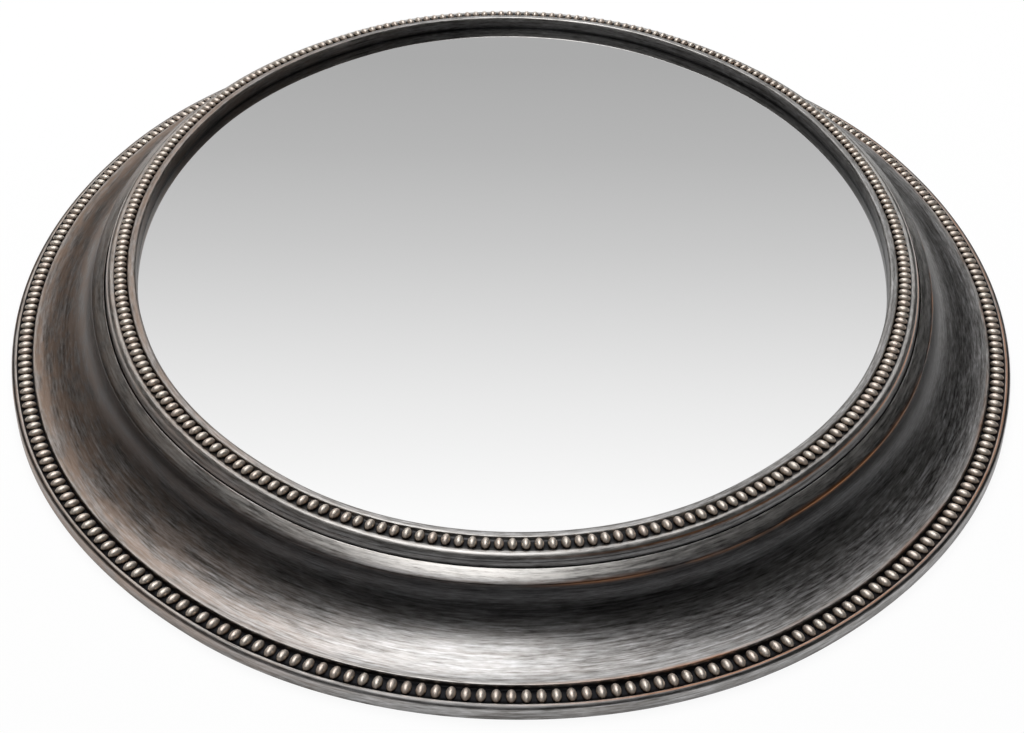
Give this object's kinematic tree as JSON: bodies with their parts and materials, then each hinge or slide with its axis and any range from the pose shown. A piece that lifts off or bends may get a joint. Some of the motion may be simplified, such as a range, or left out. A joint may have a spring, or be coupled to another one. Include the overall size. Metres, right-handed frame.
{
  "type": "oval wall mirror",
  "caption": "Oval vanity wall mirror in a deep hollow moulding with two rows of beads, held by turn buttons, with two recessed ring hangers.",
  "frame": {"origin": "middle of the flat back, which the part lies on, under the middle of the oval", "axes": "+Z out of the glass towards the room, +Y towards the top of the oval as it hangs, +X to the right as seen from the room"},
  "size_m": [0.61, 0.768, 0.0522],
  "materials": {
    "frame_finish": "wood and composition moulding, rubbed antique pewter finish",
    "bead_finish": "composition beads, champagne pewter rubbed over a dark ground",
    "mirror_glass": "silvered float glass",
    "foam": "closed-cell foam strip",
    "hardboard": "brown hardboard",
    "plated_steel": "nickel-plated steel",
    "screw_brass": "brass-plated screws"
  },
  "bodies": {
    "frame": {"outer_frame": "frame_finish", "outer_beads": "bead_finish", "bezel_ring": "frame_finish", "inner_beads": "bead_finish", "mirror_glass": "mirror_glass", "foam_strip": "foam", "backing_board": "hardboard", "turn_button_screws": "screw_brass", "bezel_screws": "screw_brass", "hanger_strap_left": "plated_steel", "hanger_strap_right": "plated_steel", "hanger_screws": "screw_brass"},
    "turn_button_1": {"turn_button_1": "plated_steel"},
    "turn_button_2": {"turn_button_2": "plated_steel"},
    "turn_button_3": {"turn_button_3": "plated_steel"},
    "turn_button_4": {"turn_button_4": "plated_steel"},
    "turn_button_5": {"turn_button_5": "plated_steel"},
    "turn_button_6": {"turn_button_6": "plated_steel"},
    "turn_button_7": {"turn_button_7": "plated_steel"},
    "turn_button_8": {"turn_button_8": "plated_steel"},
    "hanger_ring_left": {"hanger_ring_left": "plated_steel"},
    "hanger_ring_right": {"hanger_ring_right": "plated_steel"}
  },
  "joints": [
    {"name": "turn_button_1_turn", "type": "hinge", "parent": "frame", "child": "turn_button_1", "pos_m": [0.22981, 0.11083, 0.0269], "axis": [0, 0, 1], "range_deg": [-90, 90]},
    {"name": "turn_button_2_turn", "type": "hinge", "parent": "frame", "child": "turn_button_2", "pos_m": [0.10592, 0.29184, 0.0269], "axis": [0, 0, 1], "range_deg": [-90, 90]},
    {"name": "turn_button_3_turn", "type": "hinge", "parent": "frame", "child": "turn_button_3", "pos_m": [-0.10592, 0.29184, 0.0269], "axis": [0, 0, 1], "range_deg": [-90, 90]},
    {"name": "turn_button_4_turn", "type": "hinge", "parent": "frame", "child": "turn_button_4", "pos_m": [-0.22981, 0.11083, 0.0269], "axis": [0, 0, 1], "range_deg": [-90, 90]},
    {"name": "turn_button_5_turn", "type": "hinge", "parent": "frame", "child": "turn_button_5", "pos_m": [-0.22981, -0.11083, 0.0269], "axis": [0, 0, 1], "range_deg": [-90, 90]},
    {"name": "turn_button_6_turn", "type": "hinge", "parent": "frame", "child": "turn_button_6", "pos_m": [-0.10592, -0.29184, 0.0269], "axis": [0, 0, 1], "range_deg": [-90, 90]},
    {"name": "turn_button_7_turn", "type": "hinge", "parent": "frame", "child": "turn_button_7", "pos_m": [0.10592, -0.29184, 0.0269], "axis": [0, 0, 1], "range_deg": [-90, 90]},
    {"name": "turn_button_8_turn", "type": "hinge", "parent": "frame", "child": "turn_button_8", "pos_m": [0.22981, -0.11083, 0.0269], "axis": [0, 0, 1], "range_deg": [-90, 90]},
    {"name": "hanger_ring_left_swing", "type": "hinge", "parent": "frame", "child": "hanger_ring_left", "pos_m": [-0.23569, 0.17717, 0.0029], "axis": [-0.9135, 0.4067, 0], "range_deg": [0, 180]},
    {"name": "hanger_ring_right_swing", "type": "hinge", "parent": "frame", "child": "hanger_ring_right", "pos_m": [0.23569, 0.17717, 0.0029], "axis": [-0.9135, -0.4067, 0], "range_deg": [0, 180]}
  ]
}
